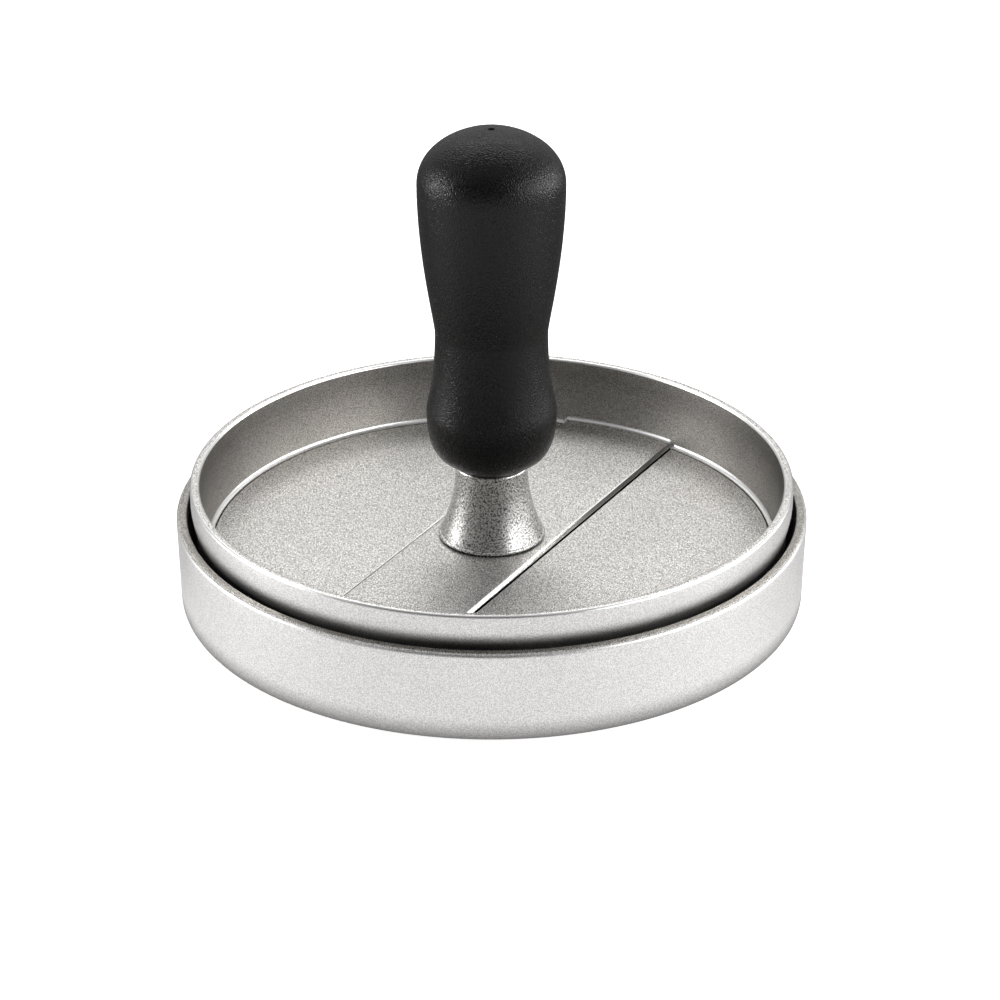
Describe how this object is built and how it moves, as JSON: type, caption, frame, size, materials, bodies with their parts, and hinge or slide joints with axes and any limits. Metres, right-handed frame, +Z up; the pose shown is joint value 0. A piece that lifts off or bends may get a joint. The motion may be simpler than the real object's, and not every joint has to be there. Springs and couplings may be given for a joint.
{
  "type": "patty press",
  "caption": "Round cast mould with a ribbed floor and a fitting dish-shaped press on an upright moulded handle, for forming flat minced-meat patties.",
  "frame": {"origin": "centre of the mould's flat underside, on the axis that the mould, the press and the handle share", "axes": "+Z up along that axis, from the mould to the handle's crown; Y along the press's raised strip and the ribs; X across them"},
  "size_m": [0.1258, 0.1258, 0.0984],
  "materials": {
    "cast_aluminium": "cast, blasted to a fine matt grain with a thin release coating",
    "collar_aluminium": "turned, then blasted; a little shinier than the dishes",
    "handle_plastic": "moulded black with a fine pebble grain",
    "brass": "turned and knurled",
    "plated_steel": "zinc plated"
  },
  "bodies": {
    "mould": {"mould_base": "cast_aluminium"},
    "lift_carrier": {"flat_washer": "plated_steel"},
    "press": {"press_plate": "cast_aluminium", "neck_collar": "collar_aluminium", "handle_grip": "handle_plastic", "threaded_insert": "brass", "clamp_screw": "plated_steel", "spring_washer": "plated_steel"}
  },
  "joints": [
    {"name": "press_lift", "type": "slide", "parent": "mould", "child": "lift_carrier", "axis": [0, 0, 1], "range_m": [0, 0.06]},
    {"name": "press_turn", "type": "hinge", "parent": "lift_carrier", "child": "press", "pos_m": [0, 0, 0], "axis": [0, 0, 1], "continuous": true}
  ]
}
